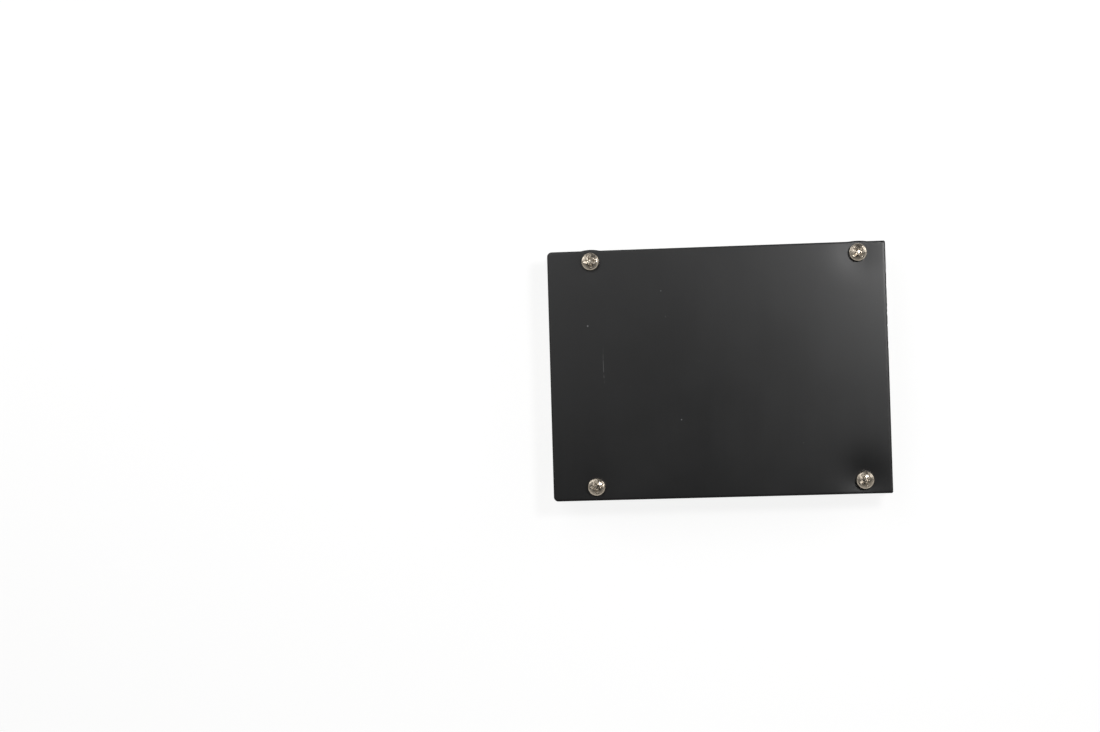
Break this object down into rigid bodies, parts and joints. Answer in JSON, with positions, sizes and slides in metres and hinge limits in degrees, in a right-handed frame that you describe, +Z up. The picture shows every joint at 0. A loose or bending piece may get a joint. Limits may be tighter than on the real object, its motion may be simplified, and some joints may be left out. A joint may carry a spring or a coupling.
{
  "type": "battery management board",
  "caption": "Protection and balancing board for a series cell pack: a circuit board with power transistors on spacers under a black punched aluminium heatsink plate.",
  "frame": {"origin": "under the middle of the plate, level with the tips of the four screws the board stands on", "axes": "+X along the long side from the balance socket to the wire lands, +Y along the short side, +Z up through the plate"},
  "size_m": [0.088, 0.0657, 0.0139],
  "materials": {
    "plate_black": "satin",
    "nickel_steel": "gloss",
    "spacer_metal": "satin",
    "thermal_silicone": "matte",
    "laminate_green": "satin",
    "tinned_copper": "satin",
    "moulding_black": "matte",
    "tinned_leadframe": "satin",
    "socket_nylon": "satin",
    "tinned_pin": "gloss",
    "solder": "gloss",
    "chip_epoxy": "matte",
    "resistor_glaze": "satin",
    "capacitor_ceramic": "satin",
    "thermistor_ceramic": "satin"
  },
  "bodies": {
    "root": {"heatsink_plate": "plate_black", "plate_screws": "nickel_steel", "plate_spacers": "spacer_metal", "plate_nuts": "nickel_steel", "discharge_thermal_pad": "thermal_silicone", "charge_thermal_pad": "thermal_silicone", "circuit_board": "laminate_green", "battery_minus_land": "tinned_copper", "pack_minus_land": "tinned_copper", "charge_minus_land": "tinned_copper", "battery_bus": "solder", "discharge_bus": "solder", "charge_bus": "solder", "discharge_transistor_1": "moulding_black", "discharge_leadframe_1": "tinned_leadframe", "charge_transistor_1": "moulding_black", "charge_leadframe_1": "tinned_leadframe", "discharge_transistor_2": "moulding_black", "discharge_leadframe_2": "tinned_leadframe", "charge_transistor_2": "moulding_black", "charge_leadframe_2": "tinned_leadframe", "discharge_transistor_3": "moulding_black", "discharge_leadframe_3": "tinned_leadframe", "charge_transistor_3": "moulding_black", "charge_leadframe_3": "tinned_leadframe", "discharge_transistor_4": "moulding_black", "discharge_leadframe_4": "tinned_leadframe", "charge_transistor_4": "moulding_black", "charge_leadframe_4": "tinned_leadframe", "socket_housing": "socket_nylon", "socket_pins": "tinned_pin", "socket_solder": "solder", "transistor_solder": "solder", "cell_chips": "chip_epoxy", "bleed_transistors": "chip_epoxy", "bleed_resistors": "resistor_glaze", "filter_resistors": "resistor_glaze", "filter_capacitors": "capacitor_ceramic", "gate_resistors": "resistor_glaze", "current_shunts": "resistor_glaze", "driver_chips": "chip_epoxy", "level_transistors": "chip_epoxy", "supply_regulator": "chip_epoxy", "supply_capacitors": "capacitor_ceramic", "clamp_diodes": "chip_epoxy", "thermistor": "thermistor_ceramic"}
  },
  "joints": []
}
